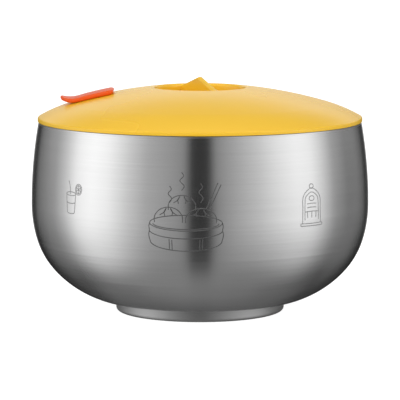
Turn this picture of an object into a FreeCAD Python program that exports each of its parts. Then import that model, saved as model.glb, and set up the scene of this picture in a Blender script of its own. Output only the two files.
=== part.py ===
import FreeCAD, Part
import math
import os

import Sketcher

# Double-wall steel baby bowl with a suction foot, a plug-in lid with a pinch fin, and a silicone vent flap
# shaped as a beak. Millimetres, +Z up. Origin: centre of the foot ring, on the plane it stands on. The beak
# points to -X and the tab that breaks the suction to +Y.

# Driving dimensions. Radii are measured from the Z axis, heights from the table, and the beak's places along
# the -X axis.
DIMENSIONS = {
    # skin of the bowl: a chain of tangent arcs from the rim down to the base
    "bowl_radius": 65.0,
    "belly_height": 41.5,
    "rim_height": 73.4,
    "upper_arc": 178.7,
    "lower_arc": 46.0,
    "lower_arc_end": 27.6,
    "shoulder_arc": 30.1,
    "shoulder_arc_end": 17.2,
    "base_arc": 39.3,
    "base_blend": 18.0,
    "base_height": 4.8,
    # double wall
    "shell_wall": 0.5,
    "air_gap": 2.2,
    "liner_wall": 0.6,
    "liner_corner": 28.0,
    "liner_base": 12.4,
    "rim_radius": 62.1,
    "mouth_fillet": 1.0,
    # raised well under the bowl that houses the suction cup
    "well_radius": 29.0,
    "well_draft": 1.6,
    "well_height": 9.6,
    # foot ring, a channel that opens inwards
    "foot_radius": 32.5,
    "foot_wall": 0.8,
    "foot_round": 1.4,
    "foot_lip_radius": 29.8,
    "notch_width": 13.0,
    "notch_height": 3.6,
    # stud that carries the suction cup
    "stud_plate_radius": 8.0,
    "stud_plate": 0.6,
    "stud_radius": 3.95,
    "stud_end": 5.3,
    "stud_chamfer": 0.5,
    # suction cup
    "cup_radius": 28.5,
    "cup_lip_inner": 26.3,
    "cup_lip": 0.9,
    "cup_chamber": 2.6,
    "cup_neck_radius": 12.0,
    "cup_neck_height": 4.4,
    "hub_radius": 9.0,
    "hub_height": 8.8,
    "socket_radius": 4.0,
    "socket_floor": 5.1,
    # release tab
    "tab_root": 28.53,
    "tab_end": 43.0,
    "tab_width": 11.0,
    "tab_corner": 4.0,
    "tab_underside": 0.2,
    "tab_thickness": 1.2,
    "grip_place": 39.5,
    "grip_thickness": 1.9,
    # lid
    "lid_radius": 62.45,
    "lid_base": 73.65,
    "lid_wall": 1.8,
    "dome_apex": 87.4,
    "dome_arc": 177.4,
    "dome_end": 50.0,
    "brim_arc": 60.0,
    "edge_round": 0.8,
    "skirt_radius": 57.25,
    "skirt_wall": 2.0,
    "skirt_base": 67.2,
    "groove_base": 69.5,
    "groove_top": 71.7,
    "groove_depth": 1.0,
    # finger recess
    "recess_radius": 17.2,
    "recess_draft": 1.0,
    "recess_floor": 77.6,
    "recess_fillet": 1.2,
    "recess_floor_fillet": 1.6,
    # pinch fin across the recess
    "fin_reach": 17.9,
    "fin_peak": 90.3,
    "fin_end_height": 85.6,
    "fin_thickness": 2.2,
    "fin_turn": 67.5,
    "fin_fillet": 0.8,
    # lid seal
    "seal_radius": 58.75,
    "seal_band": 57.7,
    "seal_clearance": 0.05,
    "seal_lip": 0.5,
    # beak
    "beak_root_end": 33.2,
    "beak_hinge": 39.5,
    "beak_cut": 0.02,
    "beak_half_width": 8.0,
    "beak_corner": 2.8,
    "beak_tip_radius": 7.4,
    "beak_tip": 53.7,
    "beak_top_end": 53.3,
    "beak_thickness": 1.8,
    "beak_clearance": 0.05,
    "beak_curl_start": 47.2,
    "beak_curl": 8.1,
    "beak_top_curl_start": 48.0,
    "beak_top_curl": 8.5,
    # vent under the flap, and the anchor that holds the beak
    "vent_place": 45.0,
    "vent_radius": 2.2,
    "nub_radius": 1.7,
    "nub_depth": 1.3,
    "anchor_place": 36.2,
    "anchor_radius": 1.6,
    "anchor_clearance": 0.03,
    "bead_radius": 2.4,
    "bead_top": 81.15,
    "bead_height": 1.5,
}

V = FreeCAD.Vector
START, END, CENTRE = 1, 2, 3
X_AXIS, Y_AXIS = -1, -2
ORIGIN = (-1, 1)
SKIN = ("upper_arc", "lower_arc", "shoulder_arc", "base_arc", "base_blend")


# ---------------------------------------------------------------------------------------------- document
def make_sheet(doc):
    """The spreadsheet that holds the driving dimensions, one alias each."""
    sheet = doc.addObject("Spreadsheet::Sheet", "Dims")
    for row, (alias, value) in enumerate(DIMENSIONS.items(), start=1):
        sheet.set(f"A{row}", alias)
        sheet.set(f"B{row}", str(value))
        sheet.setAlias(f"B{row}", alias)
    doc.recompute()
    return sheet


def new_body(doc, name):
    """A PartDesign body; its Label is the node's name."""
    body = doc.addObject("PartDesign::Body", name)
    body.Label = name
    return body


def origin_plane(body, role):
    """One of the body's own origin planes."""
    return next(f for f in body.Origin.OriginFeatures if f.Role == role)


def bind(feature, **expressions):
    """Binds properties of a feature to sheet expressions."""
    for prop, expression in expressions.items():
        feature.setExpression(prop, expression)


# ---------------------------------------------------------------------------------------------- sketches
class Profile:
    """A sketch on one of the body's origin planes, with its dimensions bound to the sheet."""

    def __init__(self, body, name, plane="XZ_Plane"):
        self.sketch = body.newObject("Sketcher::SketchObject", name)
        self.sketch.AttachmentSupport = [(origin_plane(body, plane), "")]
        self.sketch.MapMode = "FlatFace"

    def value(self, expression):
        """The number that a sheet expression stands for now."""
        return float(self.sketch.evalExpression(expression))

    def dims(self, *names):
        return [self.value(f"Dims.{name}") for name in names]

    def constrain(self, kind, *arguments, expression=None):
        """Adds a constraint; a dimension takes its value from the expression."""
        if expression is None:
            return self.sketch.addConstraint(Sketcher.Constraint(kind, *arguments))
        index = self.sketch.addConstraint(Sketcher.Constraint(kind, *arguments, self.value(expression)))
        self.sketch.setExpression(f"Constraints[{index}]", expression)
        return index

    def pin(self, geometry, position, x=None, y=None):
        """Fixes a point's distances from the origin."""
        for kind, axis, expression in (("DistanceX", Y_AXIS, x), ("DistanceY", X_AXIS, y)):
            if expression is None:
                continue
            value = self.value(expression)
            if abs(value) < 1e-9:
                self.constrain("PointOnObject", geometry, position, axis)
            elif value > 0:
                self.constrain(kind, *ORIGIN, geometry, position, expression=expression)
            else:
                self.constrain(kind, geometry, position, *ORIGIN, expression=f"-({expression})")

    def arc(self, centre, radius, first, last):
        """An arc that runs anticlockwise between two directions in degrees, at a rough place."""
        circle = Part.Circle(V(*centre, 0), V(0, 0, 1), radius)
        piece = Part.ArcOfCircle(circle, math.radians(first), math.radians(last))
        return self.sketch.addGeometry(piece, False)

    def line(self, a, b):
        """A straight edge at a rough place."""
        return self.sketch.addGeometry(Part.LineSegment(V(*a, 0), V(*b, 0)), False)

    def circle(self, radius, x=None, y=None):
        """A full circle; without x or y its centre lies on that axis."""
        centre = V(self.value(x) if x else 0, self.value(y) if y else 0, 0)
        round_edge = self.sketch.addGeometry(Part.Circle(centre, V(0, 0, 1), self.value(radius)), False)
        self.pin(round_edge, CENTRE, x or "0", y or "0")
        self.constrain("Radius", round_edge, expression=radius)
        return round_edge

    def path(self, points, start=None, end=None, smooth=()):
        """Straight edges through pinned points, closed, or run between two ends of other edges. A point may
        leave its height open (None). smooth names the joins, start or end, at which the path is tangent to
        the other edge."""
        first = self.sketch.getPoint(*start) if start else V(0, 0, 0)
        places = [(self.value(x), first.y if y is None else self.value(y)) for x, y in points]
        if start:
            last = self.sketch.getPoint(*end)
            places = [(first.x, first.y)] + places + [(last.x, last.y)]
        else:
            places.append(places[0])
        edges = [self.line(a, b) for a, b in zip(places, places[1:])]
        for before, after in zip(edges, edges[1:]):
            self.constrain("Coincident", before, END, after, START)
        if start:
            self.constrain("Tangent" if "start" in smooth else "Coincident", *start, edges[0], START)
            self.constrain("Tangent" if "end" in smooth else "Coincident", edges[-1], END, *end)
            pinned = edges[1:]
        else:
            self.constrain("Coincident", edges[-1], END, edges[0], START)
            pinned = edges
        for edge, (x, y) in zip(pinned, points):
            self.pin(edge, START, x, y)
        return edges


def step(point, length, turn):
    """The place that lies length away from a point, in a direction turn below the horizontal."""
    return point[0] + length * math.cos(turn), point[1] - length * math.sin(turn)


def turned(body, profile):
    """A full turn of a profile about the Z axis."""
    feature = body.newObject("PartDesign::Revolution", f"{profile.sketch.Name}_turned")
    feature.Profile = profile.sketch
    feature.ReferenceAxis = (profile.sketch, ["V_Axis"])
    feature.Angle = 360
    return feature


def pocket(body, profile, reverse=False):
    """Cuts a profile right through, upwards from the XY plane or to +Y from the XZ plane."""
    feature = body.newObject("PartDesign::Pocket", f"{profile.sketch.Name}_pocket")
    feature.Profile = profile.sketch
    feature.Type = "ThroughAll"
    feature.Reversed = reverse
    return feature


def round_off(doc, body, base, edges, radius, kind="Fillet", prop="Radius"):
    """Rounds or chamfers named edges of a feature."""
    if not edges:
        raise ValueError(f"{body.Label}: no edge to round with {radius}")
    feature = body.newObject(f"PartDesign::{kind}", f"{body.Name}_{kind.lower()}")
    feature.Base = (base, edges)
    bind(feature, **{prop: radius})
    doc.recompute()
    return feature


def circles_at(shape, radius, height, within=0.2):
    """Names of the circular edges about the Z axis with that radius and height."""
    found = []
    for i, edge in enumerate(shape.Edges, start=1):
        curve = edge.Curve
        if not isinstance(curve, Part.Circle) or math.hypot(curve.Center.x, curve.Center.y) > 0.01:
            continue
        if abs(curve.Radius - radius) < within and abs(curve.Center.z - height) < within:
            found.append(f"Edge{i}")
    return found


# ---------------------------------------------------------------------------------------------- bowl
def skin_centres(profile):
    """Rough centres of the skin's arcs, and the turn below the horizontal at which each one ends."""
    upper, lower, shoulder, base, blend = profile.dims(*SKIN)
    bowl, belly, lower_end, shoulder_end, floor = profile.dims(
        "bowl_radius", "belly_height", "lower_arc_end", "shoulder_arc_end", "base_height"
    )
    in_lower = (bowl - lower, belly)
    first = math.asin((belly - lower_end) / lower)
    in_shoulder = step(in_lower, lower - shoulder, first)
    second = math.asin((in_shoulder[1] - shoulder_end) / shoulder)
    in_base = step(in_shoulder, shoulder - base, second)
    third = math.asin((in_base[1] - floor - blend) / (base - blend))
    in_blend = step(in_base, base - blend, third)
    turns = [0.0] + [math.degrees(turn) for turn in (first, second, third)] + [90.0]
    return [(bowl - upper, belly), in_lower, in_shoulder, in_base, in_blend], turns


def upper_arcs(profile, inset, top):
    """The two arcs that meet at the belly, inset from the skin. Each arc starts at its lower end."""
    (upper_centre, lower_centre, *_), turns = skin_centres(profile)
    upper, lower = profile.value(f"Dims.upper_arc - ({inset})"), profile.value(f"Dims.lower_arc - ({inset})")
    rise = math.degrees(math.asin((profile.value(top) - upper_centre[1]) / upper))
    above = profile.arc(upper_centre, upper, 0, rise)
    below = profile.arc(lower_centre, lower, -turns[1], 0)
    for arc, name in ((above, "upper_arc"), (below, "lower_arc")):
        profile.pin(arc, CENTRE, f"Dims.bowl_radius - Dims.{name}", "Dims.belly_height")
    profile.constrain("Radius", above, expression=f"Dims.upper_arc - ({inset})")
    profile.pin(above, START, y="Dims.belly_height")
    profile.constrain("Coincident", above, START, below, END)
    return above, below


def make_outer_shell(doc):
    """The brushed outer wall, drawn in one with the raised well under the bowl."""
    body = new_body(doc, "outer_shell")
    profile = Profile(body, "outer_shell_section")
    top = "Dims.rim_height - Dims.liner_wall"
    outside = list(upper_arcs(profile, "0", top))
    inside = list(upper_arcs(profile, "Dims.shell_wall", top))
    profile.pin(outside[0], END, y=top)
    profile.pin(inside[0], END, y=top)
    profile.pin(outside[1], START, y="Dims.lower_arc_end")
    centres, turns = skin_centres(profile)
    for i, name in enumerate(SKIN[2:], start=2):
        radius = profile.value(f"Dims.{name}")
        arc = profile.arc(centres[i], radius, -turns[i], -turns[i - 1])
        profile.constrain("Tangent", outside[-1], START, arc, END)
        profile.constrain("Radius", arc, expression=f"Dims.{name}")
        outside.append(arc)
        wall = profile.value("Dims.shell_wall")
        inner = profile.arc(centres[i], radius - wall, -turns[i], -turns[i - 1])
        profile.constrain("Tangent", inside[-1], START, inner, END)
        profile.constrain("Coincident", inner, CENTRE, arc, CENTRE)
        inside.append(inner)
    profile.pin(outside[2], START, y="Dims.shoulder_arc_end")
    lines = profile.path(
        [
            ("Dims.well_radius + Dims.shell_wall", None),
            ("Dims.well_radius + Dims.shell_wall - Dims.well_draft", "Dims.well_height + Dims.shell_wall"),
            ("0", "Dims.well_height + Dims.shell_wall"),
            ("0", "Dims.well_height"),
            ("Dims.well_radius - Dims.well_draft", "Dims.well_height"),
            ("Dims.well_radius", "Dims.base_height"),
        ],
        start=(inside[-1], START),
        end=(outside[-1], START),
        smooth=("start", "end"),
    )
    profile.constrain("Horizontal", lines[0])
    profile.constrain("Horizontal", lines[-1])
    profile.path([], start=(inside[0], END), end=(outside[0], END))
    turned(body, profile)
    return body


def make_inner_bowl(doc):
    """The food bowl: a drawn liner whose rolled mouth runs out into a flange over the shell's edge."""
    body = new_body(doc, "inner_bowl")
    profile = Profile(body, "inner_bowl_section")
    inset = "Dims.shell_wall + Dims.air_gap"
    underside = "Dims.rim_height - Dims.liner_wall"
    outside = upper_arcs(profile, inset, underside)
    inside = upper_arcs(profile, f"{inset} + Dims.liner_wall", "Dims.rim_height - Dims.mouth_fillet")
    profile.pin(outside[0], END, y=underside)

    lower = profile.sketch.getPoint(outside[1], CENTRE)
    reach = profile.value(f"Dims.lower_arc - ({inset}) - Dims.liner_corner")
    corner, base, wall = profile.dims("liner_corner", "liner_base", "liner_wall")
    turn = math.asin((lower.y - base - corner) / reach)
    centre = step((lower.x, lower.y), reach, turn)
    bend = profile.arc(centre, corner, -90, -math.degrees(turn))
    profile.constrain("Tangent", outside[1], START, bend, END)
    profile.constrain("Radius", bend, expression="Dims.liner_corner")
    inner_bend = profile.arc(centre, corner - wall, -90, -math.degrees(turn))
    profile.constrain("Tangent", inside[1], START, inner_bend, END)
    profile.constrain("Coincident", bend, CENTRE, inner_bend, CENTRE)
    lines = profile.path(
        [("0", None), ("0", "Dims.liner_base")],
        start=(inner_bend, START),
        end=(bend, START),
        smooth=("start", "end"),
    )
    profile.constrain("Horizontal", lines[0])
    profile.constrain("Horizontal", lines[-1])

    upper = profile.sketch.getPoint(inside[0], CENTRE)
    roll = profile.value("Dims.mouth_fillet")
    reach = profile.value(f"Dims.upper_arc - ({inset}) - Dims.liner_wall + Dims.mouth_fillet")
    turn = math.asin((profile.value("Dims.rim_height") - roll - upper.y) / reach)
    mouth = profile.arc(step((upper.x, upper.y), reach, -turn), roll, 90, 180 + math.degrees(turn))
    profile.constrain("Tangent", inside[0], END, mouth, END)
    profile.constrain("Radius", mouth, expression="Dims.mouth_fillet")
    lines = profile.path(
        [("Dims.rim_radius", "Dims.rim_height"), ("Dims.rim_radius", underside)],
        start=(mouth, START),
        end=(outside[0], END),
        smooth=("start",),
    )
    profile.constrain("Horizontal", lines[0])
    turned(body, profile)
    return body


def make_foot_ring(doc):
    """The rolled ring that the bowl stands on, notched at the back for the release tab."""
    body = new_body(doc, "foot_ring")
    profile = Profile(body, "foot_ring_section")
    inner = "Dims.foot_radius - Dims.foot_wall"
    profile.path(
        [
            ("Dims.foot_lip_radius", "0"),
            ("Dims.foot_radius", "0"),
            ("Dims.foot_radius", "Dims.base_height"),
            ("Dims.foot_lip_radius", "Dims.base_height"),
            ("Dims.foot_lip_radius", "Dims.base_height - Dims.foot_wall"),
            (inner, "Dims.base_height - Dims.foot_wall"),
            (inner, "Dims.foot_wall"),
            ("Dims.foot_lip_radius", "Dims.foot_wall"),
        ]
    )
    ring = turned(body, profile)
    doc.recompute()
    outside = circles_at(ring.Shape, profile.value("Dims.foot_radius"), 0)
    ring = round_off(doc, body, ring, outside, "Dims.foot_round")
    inside = circles_at(ring.Shape, profile.value(inner), profile.value("Dims.foot_wall"))
    round_off(doc, body, ring, inside, "Dims.foot_round - Dims.foot_wall")
    notch = Profile(body, "foot_ring_notch")
    notch.path(
        [
            ("-Dims.notch_width / 2", "-1"),
            ("Dims.notch_width / 2", "-1"),
            ("Dims.notch_width / 2", "Dims.notch_height"),
            ("-Dims.notch_width / 2", "Dims.notch_height"),
        ]
    )
    pocket(body, notch)
    return body


def make_cup_stud(doc):
    """The stud welded under the bowl that the suction cup is pressed on to."""
    body = new_body(doc, "cup_stud")
    profile = Profile(body, "cup_stud_section")
    plate = "Dims.well_height - Dims.stud_plate"
    profile.path(
        [
            ("0", "Dims.stud_end"),
            ("Dims.stud_radius", "Dims.stud_end"),
            ("Dims.stud_radius", plate),
            ("Dims.stud_plate_radius", plate),
            ("Dims.stud_plate_radius", "Dims.well_height"),
            ("0", "Dims.well_height"),
        ]
    )
    stud = turned(body, profile)
    doc.recompute()
    tip = circles_at(stud.Shape, profile.value("Dims.stud_radius"), profile.value("Dims.stud_end"))
    round_off(doc, body, stud, tip, "Dims.stud_chamfer", "Chamfer", "Size")
    return body


# ---------------------------------------------------------------------------------------------- suction
def make_suction_cup(doc):
    """The silicone cup: a thin flexible skirt round a solid hub with a socket for the stud."""
    body = new_body(doc, "suction_cup")
    profile = Profile(body, "suction_cup_section")
    profile.path(
        [
            ("Dims.cup_lip_inner", "0"),
            ("Dims.cup_radius", "0"),
            ("Dims.cup_radius", "Dims.cup_lip"),
            ("Dims.cup_neck_radius", "Dims.cup_neck_height"),
            ("Dims.hub_radius", "Dims.cup_neck_height + 1"),
            ("Dims.hub_radius", "Dims.hub_height"),
            ("Dims.socket_radius", "Dims.hub_height"),
            ("Dims.socket_radius", "Dims.socket_floor"),
            ("0", "Dims.socket_floor"),
            ("0", "Dims.cup_chamber"),
            ("Dims.hub_radius", "Dims.cup_chamber"),
        ]
    )
    turned(body, profile)
    return body


def make_release_tab(doc):
    """The tab that sticks out at the back and lifts the cup's lip."""
    body = new_body(doc, "release_tab")
    outline = Profile(body, "release_tab_outline", "XY_Plane")
    half = "Dims.tab_width / 2"
    corner = "Dims.tab_corner"
    x, end, r = outline.value(half), outline.value("Dims.tab_end"), outline.value(corner)
    right = outline.arc((x - r, end - r), r, 0, 90)
    left = outline.arc((r - x, end - r), r, 90, 180)
    for arc in (right, left):
        outline.constrain("Radius", arc, expression=corner)
    outline.pin(right, CENTRE, f"{half} - {corner}", f"Dims.tab_end - {corner}")
    outline.pin(left, CENTRE, f"{corner} - {half}", f"Dims.tab_end - {corner}")
    tip = outline.line((x - r, end), (r - x, end))
    outline.constrain("Tangent", right, END, tip, START)
    outline.constrain("Tangent", tip, END, left, START)
    outline.path(
        [(f"-{half}", "Dims.tab_root"), (half, "Dims.tab_root")],
        start=(left, END),
        end=(right, START),
        smooth=("start", "end"),
    )
    blank = body.newObject("PartDesign::Pad", "release_tab_blank")
    blank.Profile = outline.sketch
    bind(blank, Length="Dims.tab_underside + Dims.grip_thickness")

    trim = Profile(body, "release_tab_trim", "YZ_Plane")
    low, high = "Dims.tab_underside", "Dims.tab_underside + Dims.tab_thickness"
    before, after, over = "Dims.tab_root - 1", "Dims.tab_end + 1", "Dims.tab_underside + Dims.grip_thickness + 1"
    grip_start = "Dims.grip_place + Dims.grip_thickness - Dims.tab_thickness"
    trim.path([(before, "-1"), (after, "-1"), (after, low), (before, low)])
    trim.path([(before, high), ("Dims.grip_place", high), (grip_start, over), (before, over)])
    cut = pocket(body, trim)
    cut.Midplane = True
    return body


# ---------------------------------------------------------------------------------------------- lid
def dome_arcs(profile, offset, start_x, end_x):
    """The lid's two tangent arcs, offset outwards; their far ends are left to the caller. Each arc starts at
    its outer end."""
    dome, brim, apex, dome_end = profile.dims("dome_arc", "brim_arc", "dome_apex", "dome_end")
    grow = profile.value(offset)
    lean = math.asin(dome_end / dome)
    centre = (0, apex - dome)
    brim_centre = ((dome - brim) * math.sin(lean), centre[1] + (dome - brim) * math.cos(lean))
    inner = math.degrees(math.acos(profile.value(start_x) / (dome + grow)))
    outer = math.degrees(math.acos((profile.value(end_x) - brim_centre[0]) / (brim + grow)))
    crown = profile.arc(centre, dome + grow, 90 - math.degrees(lean), inner)
    edge = profile.arc(brim_centre, brim + grow, outer, 90 - math.degrees(lean))
    profile.pin(crown, CENTRE, "0", "Dims.dome_apex - Dims.dome_arc")
    profile.constrain("Radius", crown, expression=f"Dims.dome_arc + ({offset})")
    profile.constrain("Radius", edge, expression=f"Dims.brim_arc + ({offset})")
    profile.constrain("Tangent", crown, START, edge, END)
    profile.pin(crown, START, x=f"Dims.dome_end * (Dims.dome_arc + ({offset})) / Dims.dome_arc")
    return crown, edge


def recess_arcs(profile, crown):
    """The rounds at the lip and the floor of the recess, and the wall between them."""
    recess, draft, lip, corner = profile.dims(
        "recess_radius", "recess_draft", "recess_fillet", "recess_floor_fillet"
    )
    top, floor = profile.sketch.getPoint(crown, END), profile.value("Dims.recess_floor")
    lean = math.degrees(math.atan(draft / (top.y - floor)))
    lip_arc = profile.arc((recess + lip, top.y - lip), lip, 85, 180 - lean)
    corner_arc = profile.arc((recess - draft - corner, floor + corner), corner, -90, -lean)
    profile.constrain("Radius", lip_arc, expression="Dims.recess_fillet")
    profile.constrain("Radius", corner_arc, expression="Dims.recess_floor_fillet")
    profile.pin(lip_arc, CENTRE, x="Dims.recess_radius + Dims.recess_fillet")
    profile.pin(corner_arc, CENTRE, x="Dims.recess_radius - Dims.recess_draft - Dims.recess_floor_fillet")
    profile.constrain("Tangent", crown, END, lip_arc, START)
    profile.path([], start=(lip_arc, END), end=(corner_arc, END), smooth=("start", "end"))
    return lip_arc, corner_arc


def rim_arc(profile, edge):
    """The small round that ends the brim at the lid's greatest radius."""
    centre = profile.sketch.getPoint(edge, CENTRE)
    brim, turn, radius = profile.dims("brim_arc", "edge_round", "lid_radius")
    lean = math.acos((radius - turn - centre.x) / (brim - turn))
    place = step((centre.x, centre.y), brim - turn, -lean)
    rim = profile.arc(place, turn, 0, math.degrees(lean))
    profile.constrain("Radius", rim, expression="Dims.edge_round")
    profile.constrain("Tangent", edge, START, rim, END)
    return rim


def pinch_fin(doc, body):
    """The blade across the recess, with its ridges rounded. Its ends are buried in the recess wall."""
    fin = Profile(body, "fin_side")
    bind(fin.sketch, **{"AttachmentOffset.Rotation.Axis.y": "1", "AttachmentOffset.Rotation.Axis.z": "0"})
    bind(fin.sketch, **{"AttachmentOffset.Rotation.Angle": "-Dims.fin_turn * 1deg"})
    fin.path(
        [
            ("-Dims.fin_reach", "Dims.recess_floor - Dims.lid_wall / 2"),
            ("Dims.fin_reach", "Dims.recess_floor - Dims.lid_wall / 2"),
            ("Dims.fin_reach", "Dims.fin_end_height"),
            ("0", "Dims.fin_peak"),
            ("-Dims.fin_reach", "Dims.fin_end_height"),
        ]
    )
    blade = body.newObject("PartDesign::Pad", "fin_blade")
    blade.Profile = fin.sketch
    blade.Midplane = True
    bind(blade, Length="Dims.fin_thickness")
    doc.recompute()
    peak = fin.value("Dims.fin_peak")
    edges = enumerate(blade.Shape.Edges, start=1)
    ridges = [f"Edge{i}" for i, e in edges if e.BoundBox.ZMax > peak - 1e-3 and e.BoundBox.ZLength > 1]
    round_off(doc, body, blade, ridges, "Dims.fin_fillet")


def make_lid_shell(doc):
    """The moulded lid: dome, finger recess, pinch fin and the plug that enters the bowl."""
    body = new_body(doc, "lid_shell")
    pinch_fin(doc, body)
    profile = Profile(body, "lid_section")
    skirt_inside = "Dims.skirt_radius - Dims.skirt_wall"
    groove = "Dims.skirt_radius - Dims.groove_depth"
    recess_outside = "Dims.recess_radius + Dims.lid_wall"
    under_crown, under_edge = dome_arcs(profile, "-Dims.lid_wall", recess_outside, skirt_inside)
    profile.pin(under_crown, END, x=recess_outside)
    profile.pin(under_edge, START, x=skirt_inside)
    crown, edge = dome_arcs(profile, "0", "Dims.recess_radius + Dims.recess_fillet", "Dims.lid_radius")
    lip, corner = recess_arcs(profile, crown)
    rim = rim_arc(profile, edge)
    lines = profile.path(
        [
            ("Dims.lid_radius", "Dims.lid_base"),
            ("Dims.skirt_radius", "Dims.lid_base"),
            ("Dims.skirt_radius", "Dims.groove_top"),
            (groove, "Dims.groove_top"),
            (groove, "Dims.groove_base"),
            ("Dims.skirt_radius", "Dims.groove_base"),
            ("Dims.skirt_radius", "Dims.skirt_base"),
            (skirt_inside, "Dims.skirt_base"),
        ],
        start=(rim, START),
        end=(under_edge, START),
        smooth=("start",),
    )
    profile.constrain("Vertical", lines[0])
    lines = profile.path(
        [
            (f"{recess_outside} - Dims.recess_draft", "Dims.recess_floor - Dims.lid_wall"),
            ("0", "Dims.recess_floor - Dims.lid_wall"),
            ("0", "Dims.recess_floor"),
        ],
        start=(under_crown, END),
        end=(corner, START),
        smooth=("end",),
    )
    profile.constrain("Horizontal", lines[-1])
    turned(body, profile)
    doc.recompute()

    for name, place, radius in (
        ("vent_hole", "-Dims.vent_place", "Dims.vent_radius"),
        ("anchor_hole", "-Dims.anchor_place", "Dims.anchor_radius + Dims.anchor_clearance"),
    ):
        hole = Profile(body, name, "XY_Plane")
        hole.circle(radius, x=place)
        pocket(body, hole, reverse=True)
    return body


def make_lid_seal(doc):
    """The silicone ring in the plug's groove, with two lips that wipe the liner."""
    body = new_body(doc, "lid_seal")
    profile = Profile(body, "lid_seal_section")
    inside = "Dims.skirt_radius - Dims.groove_depth + Dims.seal_clearance"
    low = "Dims.groove_base + Dims.seal_clearance"
    high = "Dims.groove_top - Dims.seal_clearance"
    profile.path(
        [
            (inside, low),
            ("Dims.seal_band", low),
            ("Dims.seal_radius", f"{low} + Dims.seal_lip / 2"),
            ("Dims.seal_radius", f"{low} + Dims.seal_lip"),
            ("Dims.seal_band", f"{low} + Dims.seal_lip * 1.4"),
            ("Dims.seal_band", f"{high} - Dims.seal_lip"),
            ("Dims.seal_radius", f"{high} - Dims.seal_lip / 2"),
            ("Dims.seal_radius", high),
            (inside, high),
        ]
    )
    turned(body, profile)
    return body


# ---------------------------------------------------------------------------------------------- beak
def beak_section(body, name):
    """A full turn of the beak's section: it lies on the dome, then its tip curls up."""
    profile = Profile(body, name)
    apex, dome = profile.dims("dome_apex", "dome_arc")
    root = "Dims.beak_root_end"
    faces = {}
    for face, lift, leave, curl, tip in (
        ("under", "Dims.beak_clearance", "curl_start", "curl", "tip"),
        ("top", "Dims.beak_clearance + Dims.beak_thickness", "top_curl_start", "top_curl", "top_end"),
    ):
        radius = dome + profile.value(lift)
        start, bend, end = profile.dims(f"beak_{leave}", f"beak_{curl}", f"beak_{tip}")
        lean = math.asin(start / radius)
        first = math.degrees(math.acos(profile.value(root) / radius))
        on_dome = profile.arc((0, apex - dome), radius, 90 - math.degrees(lean), first)
        reach = radius + bend
        centre = (reach * math.sin(lean), apex - dome + reach * math.cos(lean))
        last = 270 + math.degrees(math.asin((end - centre[0]) / bend))
        curled = profile.arc(centre, bend, 270 - math.degrees(lean), last)
        profile.pin(on_dome, CENTRE, "0", "Dims.dome_apex - Dims.dome_arc")
        profile.constrain("Radius", on_dome, expression=f"Dims.dome_arc + {lift}")
        profile.constrain("Radius", curled, expression=f"Dims.beak_{curl}")
        profile.pin(on_dome, END, x=root)
        profile.pin(on_dome, START, x=f"Dims.beak_{leave}")
        profile.constrain("Tangent", on_dome, START, curled, START)
        profile.pin(curled, END, x=f"Dims.beak_{tip}")
        faces[face] = (on_dome, curled)
    for position, which in ((END, 0), (END, 1)):
        a, b = faces["under"][which], faces["top"][which]
        first, last = profile.sketch.getPoint(a, position), profile.sketch.getPoint(b, position)
        closing = profile.line((first.x, first.y), (last.x, last.y))
        profile.constrain("Coincident", a, position, closing, START)
        profile.constrain("Coincident", b, position, closing, END)
    return turned(body, profile)


def beak_outline(body, name, flap):
    """Cuts the turned ring down to one half of the beak's outline."""
    outline = Profile(body, name, "XY_Plane")
    outline.circle("Dims.beak_tip + 6")
    half, hinge = "Dims.beak_half_width", "Dims.beak_hinge"
    side = -1 if flap else 1
    split = f"-({hinge} - ({side}) * Dims.beak_cut)"
    if flap:
        radius, tip, root_x = outline.dims("beak_tip_radius", "beak_tip", "beak_hinge")
        centre = radius - tip
        lean = math.degrees(math.asin((outline.value(half) - radius) / (-centre - root_x)))
        arc = outline.arc((centre, 0), radius, 90 - lean, 270 + lean)
        outline.constrain("Radius", arc, expression="Dims.beak_tip_radius")
        outline.pin(arc, CENTRE, "Dims.beak_tip_radius - Dims.beak_tip", "0")
        corners = [(split, f"-{half}"), (split, half)]
        outline.path(corners, start=(arc, END), end=(arc, START), smooth=("start", "end"))
    else:
        corner, width, root = outline.dims("beak_corner", "beak_half_width", "beak_root_end")
        back = outline.arc((-root - corner, width - corner), corner, 0, 90)
        front = outline.arc((-root - corner, corner - width), corner, 270, 360)
        for arc, y in ((back, f"{half} - Dims.beak_corner"), (front, f"Dims.beak_corner - {half}")):
            outline.constrain("Radius", arc, expression="Dims.beak_corner")
            outline.pin(arc, CENTRE, "-Dims.beak_root_end - Dims.beak_corner", y)
        end = outline.line((-root, corner - width), (-root, width - corner))
        outline.constrain("Tangent", front, END, end, START)
        outline.constrain("Tangent", end, END, back, START)
        corners = [(split, half), (split, f"-{half}")]
        outline.path(corners, start=(back, END), end=(front, START), smooth=("start", "end"))
    return pocket(body, outline, reverse=True)


def make_beak_root(doc):
    """The fixed half of the beak, anchored through the lid by a bead."""
    body = new_body(doc, "beak_root")
    beak_section(body, "beak_root_section")
    doc.recompute()
    beak_outline(body, "beak_root_outline", flap=False)
    doc.recompute()
    for name, radius, low, high in (
        ("anchor_stem", "Dims.anchor_radius", "Dims.bead_top - Dims.bead_height / 2", "Dims.bead_top + 3"),
        ("anchor_bead", "Dims.bead_radius", "Dims.bead_top - Dims.bead_height", "Dims.bead_top"),
    ):
        pin_down(body, name, "Dims.anchor_place", radius, low, high)
    return body


def make_beak_flap(doc):
    """The free half of the beak; a nub under it fills the vent hole."""
    body = new_body(doc, "beak_flap")
    beak_section(body, "beak_flap_section")
    doc.recompute()
    beak_outline(body, "beak_flap_outline", flap=True)
    doc.recompute()
    surface = "Dims.dome_apex - Dims.dome_arc + sqrt(Dims.dome_arc ^ 2 - Dims.vent_place ^ 2)"
    pin_down(body, "nub", "Dims.vent_place", "Dims.nub_radius", f"{surface} - Dims.nub_depth", f"{surface} + 1")
    return body


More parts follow.
